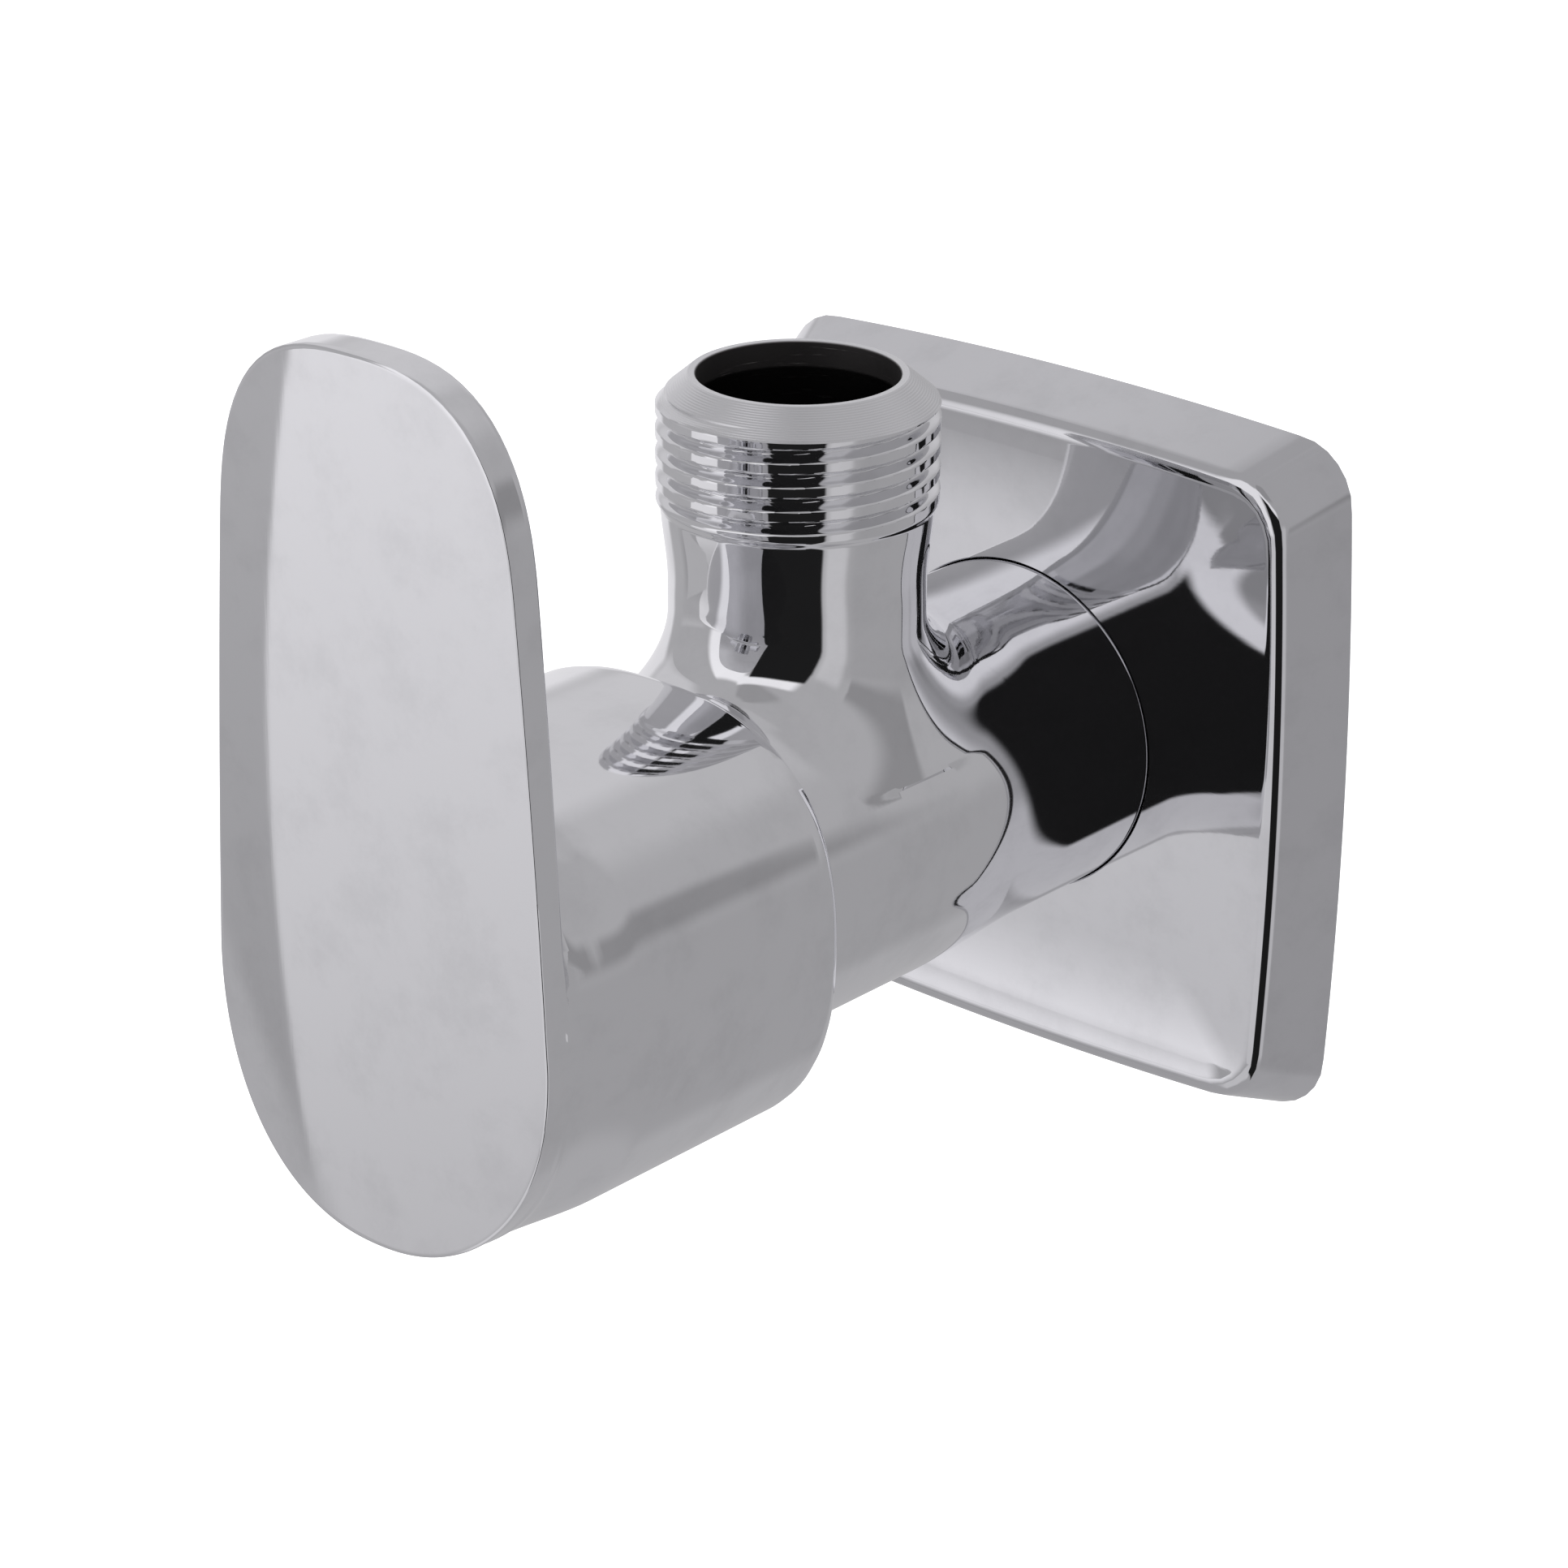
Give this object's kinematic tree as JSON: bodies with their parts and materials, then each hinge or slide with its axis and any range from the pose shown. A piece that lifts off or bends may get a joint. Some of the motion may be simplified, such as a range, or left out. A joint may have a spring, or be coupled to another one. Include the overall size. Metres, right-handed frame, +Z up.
{
  "type": "angle stop valve",
  "caption": "Chromed wall-mounted angle stop valve with threaded inlet and outlet, a flat lever handle and a square sliding wall flange.",
  "frame": {"origin": "on the barrel's axis, at the wall plane that the flange's back rim rests on, within the inlet thread", "axes": "+Z up along the outlet, +Y along the inlet spigot into the wall, +X to the right of a person facing the handle"},
  "size_m": [0.0568, 0.0913, 0.076],
  "materials": {
    "chromed_body": "polished chrome plate on brass",
    "chromed_flange": "polished chrome plate on brass sheet",
    "chromed_handle": "polished chrome plate on cast zinc, lightly brushed face",
    "bare_brass": "machined brass",
    "spring_steel": "bright steel",
    "white_ceramic": "lapped alumina",
    "black_rubber": "moulded rubber",
    "white_plastic": "moulded plastic",
    "red_fibre": "pressed fibre"
  },
  "bodies": {
    "valve": {"valve_body": "chromed_body", "flange_grip_ring": "black_rubber", "cartridge_housing": "bare_brass", "housing_seal": "red_fibre", "seat_seal": "black_rubber", "seal_backing_ring": "white_plastic", "fixed_disc": "white_ceramic"},
    "lever": {"handle": "chromed_handle", "spline_insert": "bare_brass", "grub_screw": "spring_steel", "spindle": "bare_brass", "spindle_o_ring_rear": "black_rubber", "spindle_o_ring_front": "black_rubber", "spindle_circlip": "spring_steel", "slip_washer": "bare_brass", "thrust_washer": "white_plastic", "moving_disc": "white_ceramic"},
    "flange": {"wall_flange": "chromed_flange"}
  },
  "joints": [
    {"name": "handle_turn", "type": "hinge", "parent": "valve", "child": "lever", "pos_m": [0, -0.06, 0], "axis": [0, 1, 0], "range_deg": [0, 90]},
    {"name": "flange_slide", "type": "slide", "parent": "valve", "child": "flange", "axis": [0, -1, 0], "range_m": [0, 0.008]}
  ]
}
